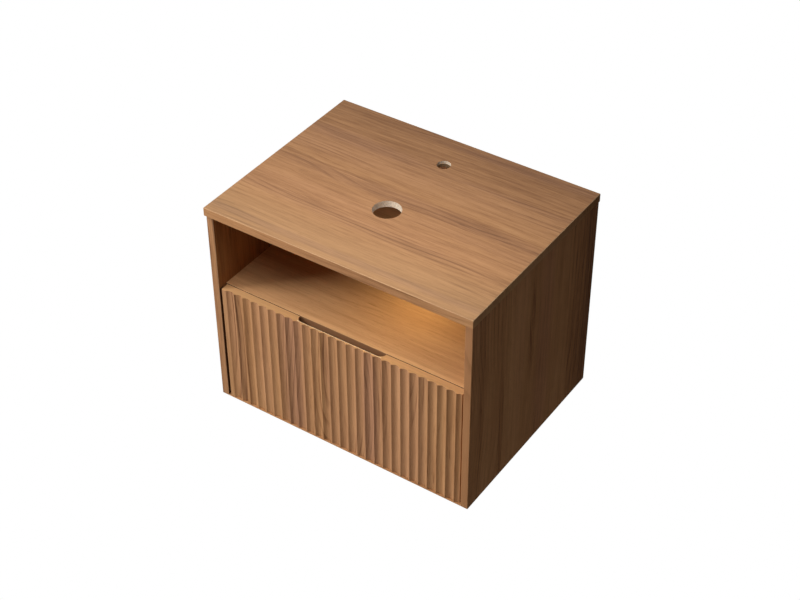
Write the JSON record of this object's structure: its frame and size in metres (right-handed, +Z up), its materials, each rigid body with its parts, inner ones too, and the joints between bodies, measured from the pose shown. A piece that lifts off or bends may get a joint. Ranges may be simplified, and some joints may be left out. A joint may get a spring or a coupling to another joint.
{
  "type": "floating vanity",
  "caption": "Wall-hung bathroom vanity with a laminated top bored for a basin, an open niche, and a fluted drawer with a routed finger pull on ball-bearing runners.",
  "frame": {"origin": "on the wall plane, at the middle of the wall rail's row of four screw holes", "axes": "+X to the right as one faces the front, +Y into the wall (the front faces -Y), +Z up"},
  "size_m": [0.6, 0.456, 0.471],
  "materials": {
    "walnut_laminate": "matt wood-grain laminate on board",
    "inner_board": "matt wood-grain melamine board",
    "zinc_steel": "bright zinc-plated steel",
    "zinc_casting": "die-cast zinc, as cast",
    "cage_steel": "oiled pressed steel",
    "ball_steel": "polished bearing steel",
    "foil_wrapped_aluminium": "aluminium strip wrapped in matt wood-grain foil",
    "rubber": "soft moulded rubber",
    "beech": "plain turned beech with pressed grooves left out"
  },
  "bodies": {
    "cabinet": {"countertop": "walnut_laminate", "left_side_panel": "walnut_laminate", "right_side_panel": "walnut_laminate", "shelf": "walnut_laminate", "bottom_panel": "walnut_laminate", "bottom_trim_strip": "foil_wrapped_aluminium", "niche_back_panel": "walnut_laminate", "upper_rear_rail": "inner_board", "lower_rear_rail": "inner_board", "left_cabinet_member": "zinc_steel", "right_cabinet_member": "zinc_steel", "runner_buffers": "rubber", "wall_rail": "zinc_steel", "left_hanging_clip": "zinc_steel", "right_hanging_clip": "zinc_steel", "hanging_clip_screws": "zinc_steel", "cams": "zinc_casting", "cam_bolts": "zinc_steel", "wood_dowels": "beech", "cabinet_runner_screws": "zinc_steel", "trim_strip_screws": "zinc_steel"},
    "drawer": {"drawer_front": "walnut_laminate", "drawer_inner_front": "inner_board", "drawer_left_side": "inner_board", "drawer_right_side": "inner_board", "drawer_back": "inner_board", "drawer_bottom": "inner_board", "left_drawer_member": "zinc_steel", "right_drawer_member": "zinc_steel", "drawer_runner_screws": "zinc_steel", "drawer_box_screws": "zinc_steel", "drawer_front_screws": "zinc_steel", "closing_bumpers": "rubber"},
    "left_middle_slide": {"left_middle_member": "zinc_steel"},
    "left_outer_cage": {"left_outer_ball_cage": "cage_steel", "left_outer_balls": "ball_steel"},
    "left_inner_cage": {"left_inner_ball_cage": "cage_steel", "left_inner_balls": "ball_steel"},
    "right_middle_slide": {"right_middle_member": "zinc_steel"},
    "right_outer_cage": {"right_outer_ball_cage": "cage_steel", "right_outer_balls": "ball_steel"},
    "right_inner_cage": {"right_inner_ball_cage": "cage_steel", "right_inner_balls": "ball_steel"}
  },
  "joints": [
    {"name": "drawer_slide", "type": "slide", "parent": "cabinet", "child": "drawer", "axis": [0, -1, 0], "range_m": [0, 0.34]},
    {"name": "left_middle_slide_travel", "type": "slide", "parent": "cabinet", "child": "left_middle_slide", "axis": [0, -1, 0], "range_m": [0, 0.17]},
    {"name": "left_outer_cage_travel", "type": "slide", "parent": "cabinet", "child": "left_outer_cage", "axis": [0, -1, 0], "range_m": [0, 0.085]},
    {"name": "left_inner_cage_travel", "type": "slide", "parent": "cabinet", "child": "left_inner_cage", "axis": [0, -1, 0], "range_m": [0, 0.255]},
    {"name": "right_middle_slide_travel", "type": "slide", "parent": "cabinet", "child": "right_middle_slide", "axis": [0, -1, 0], "range_m": [0, 0.17]},
    {"name": "right_outer_cage_travel", "type": "slide", "parent": "cabinet", "child": "right_outer_cage", "axis": [0, -1, 0], "range_m": [0, 0.085]},
    {"name": "right_inner_cage_travel", "type": "slide", "parent": "cabinet", "child": "right_inner_cage", "axis": [0, -1, 0], "range_m": [0, 0.255]}
  ],
  "couplings": [
    {"joint": "left_middle_slide_travel", "follows": "drawer_slide", "ratio": 0.5},
    {"joint": "left_outer_cage_travel", "follows": "drawer_slide", "ratio": 0.25},
    {"joint": "left_inner_cage_travel", "follows": "drawer_slide", "ratio": 0.75},
    {"joint": "right_middle_slide_travel", "follows": "drawer_slide", "ratio": 0.5},
    {"joint": "right_outer_cage_travel", "follows": "drawer_slide", "ratio": 0.25},
    {"joint": "right_inner_cage_travel", "follows": "drawer_slide", "ratio": 0.75}
  ]
}
